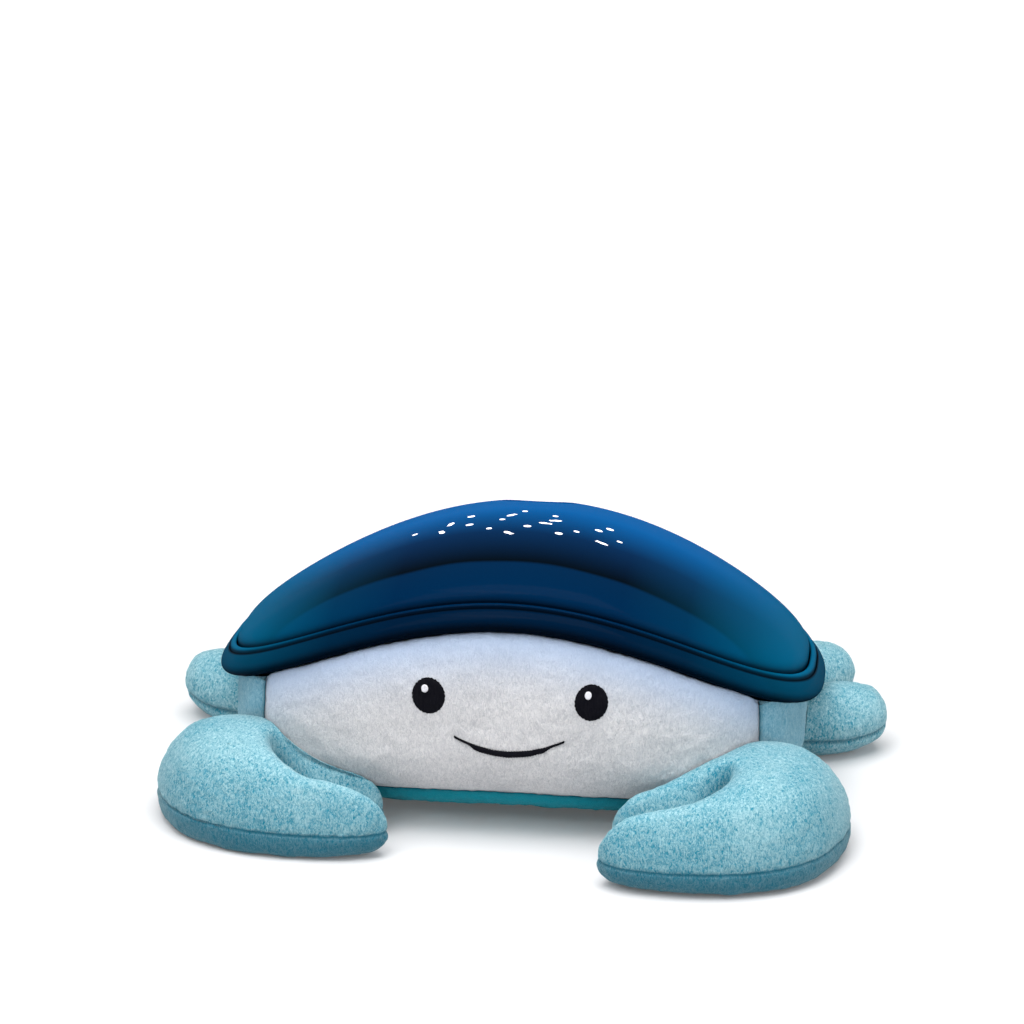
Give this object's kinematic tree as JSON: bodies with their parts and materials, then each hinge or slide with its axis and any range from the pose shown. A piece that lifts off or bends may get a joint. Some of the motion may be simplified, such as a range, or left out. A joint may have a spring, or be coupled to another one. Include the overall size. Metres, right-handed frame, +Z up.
{
  "type": "plush night light projector",
  "caption": "Stuffed toy crab with a glossy blue shell over a lamp, a turning wave wheel and a ripple lens that throw moving water light upwards.",
  "frame": {"origin": "middle of the footprint, on the surface that the rubber feet stand on", "axes": "+X to the right of someone facing the crab, -Y the way its face looks, +Z up"},
  "size_m": [0.3066, 0.2227, 0.1155],
  "materials": {
    "shell_plastic": "polished, see-through tint",
    "clear_plastic": "polished, clear",
    "housing_plastic": "fine spark texture",
    "white_button": "satin",
    "teal_button": "satin",
    "circuit_board": "solder mask",
    "white_board": "solder mask",
    "foot_rubber": "matte",
    "steel": "plain",
    "cell_jacket": "gloss",
    "speaker_frame": "satin",
    "cone_paper": "matte",
    "led_lens": "clear dome",
    "reflector": "mirror",
    "gear_plastic": "satin",
    "grey_plush": "short pile",
    "teal_plush": "short pile",
    "deep_teal_plush": "short pile",
    "black_thread": "satin stitch",
    "white_thread": "satin stitch"
  },
  "bodies": {
    "crab_body": {"shell": "shell_plastic", "window_dome": "clear_plastic", "shell_tray": "housing_plastic", "control_panel": "shell_plastic", "button_board": "circuit_board", "lower_housing": "housing_plastic", "rubber_feet": "foot_rubber", "battery_cells": "cell_jacket", "battery_springs": "steel", "battery_contacts": "steel", "main_board": "circuit_board", "board_screws": "steel", "speaker": "speaker_frame", "speaker_cone": "cone_paper", "chassis_plate": "housing_plastic", "chassis_screws": "steel", "led_board": "white_board", "led_emitter": "led_lens", "reflector_cup": "reflector", "gear_motor": "steel", "wheel_pin": "steel", "lens_bracket": "housing_plastic", "ripple_lens": "clear_plastic", "face_plush": "grey_plush", "chin_plush": "deep_teal_plush", "side_plush_left": "teal_plush", "side_plush_right": "teal_plush", "rear_plush": "teal_plush", "eye_left": "black_thread", "eye_right": "black_thread", "eye_glints": "white_thread", "smile": "black_thread"},
    "wave_wheel": {"wave_wheel": "clear_plastic"},
    "drive_pinion": {"drive_pinion": "gear_plastic"},
    "power_button": {"power_button": "white_button"},
    "melody_button": {"melody_button": "teal_button"},
    "volume_up_button": {"volume_up_button": "teal_button"},
    "volume_down_button": {"volume_down_button": "teal_button"},
    "battery_door": {"battery_door": "housing_plastic", "door_screw": "steel"},
    "claw_left": {"claw_left": "teal_plush"},
    "claw_right": {"claw_right": "teal_plush"},
    "leg_front_left": {"leg_front_left": "teal_plush"},
    "leg_front_right": {"leg_front_right": "teal_plush"},
    "leg_rear_left": {"leg_rear_left": "teal_plush"},
    "leg_rear_right": {"leg_rear_right": "teal_plush"}
  },
  "joints": [
    {"name": "wave_spin", "type": "hinge", "parent": "crab_body", "child": "wave_wheel", "pos_m": [-0.018, 0.01875, 0.058], "axis": [0, 0, 1], "continuous": true},
    {"name": "pinion_spin", "type": "hinge", "parent": "crab_body", "child": "drive_pinion", "pos_m": [-0.056, 0.01875, 0.058], "axis": [0, 0, 1], "continuous": true},
    {"name": "power_press", "type": "slide", "parent": "crab_body", "child": "power_button", "axis": [0, -0.3288, -0.9444], "range_m": [0, 0.0012], "stiffness_N_per_m": 800},
    {"name": "melody_press", "type": "slide", "parent": "crab_body", "child": "melody_button", "axis": [0, -0.3288, -0.9444], "range_m": [0, 0.0012], "stiffness_N_per_m": 800},
    {"name": "volume_up_press", "type": "slide", "parent": "crab_body", "child": "volume_up_button", "axis": [0, -0.3288, -0.9444], "range_m": [0, 0.0012], "stiffness_N_per_m": 800},
    {"name": "volume_down_press", "type": "slide", "parent": "crab_body", "child": "volume_down_button", "axis": [0, -0.3288, -0.9444], "range_m": [0, 0.0012], "stiffness_N_per_m": 800},
    {"name": "door_swing", "type": "hinge", "parent": "crab_body", "child": "battery_door", "pos_m": [-0.06345, 0.01875, 0.0037], "axis": [0, 1, 0], "range_deg": [0, 90]},
    {"name": "claw_left_swing", "type": "hinge", "parent": "crab_body", "child": "claw_left", "pos_m": [-0.118, -0.00525, 0.018], "axis": [0, 0, -1], "range_deg": [0, 25], "stiffness_Nm_per_rad": 0.08},
    {"name": "claw_right_swing", "type": "hinge", "parent": "crab_body", "child": "claw_right", "pos_m": [0.118, -0.00525, 0.018], "axis": [0, 0, 1], "range_deg": [0, 25], "stiffness_Nm_per_rad": 0.08},
    {"name": "leg_front_left_lift", "type": "hinge", "parent": "crab_body", "child": "leg_front_left", "pos_m": [-0.12786, 0.04092, 0.031], "axis": [0.3746, 0.9272, 0], "range_deg": [0, 30], "stiffness_Nm_per_rad": 0.03},
    {"name": "leg_front_right_lift", "type": "hinge", "parent": "crab_body", "child": "leg_front_right", "pos_m": [0.12786, 0.04092, 0.031], "axis": [0.3746, -0.9272, 0], "range_deg": [0, 30], "stiffness_Nm_per_rad": 0.03},
    {"name": "leg_rear_left_lift", "type": "hinge", "parent": "crab_body", "child": "leg_rear_left", "pos_m": [-0.10537, 0.07678, 0.031], "axis": [0.5878, 0.809, 0], "range_deg": [0, 30], "stiffness_Nm_per_rad": 0.03},
    {"name": "leg_rear_right_lift", "type": "hinge", "parent": "crab_body", "child": "leg_rear_right", "pos_m": [0.10537, 0.07678, 0.031], "axis": [0.5878, -0.809, 0], "range_deg": [0, 30], "stiffness_Nm_per_rad": 0.03}
  ],
  "couplings": [
    {"joint": "pinion_spin", "follows": "wave_spin", "ratio": -5.3333}
  ]
}
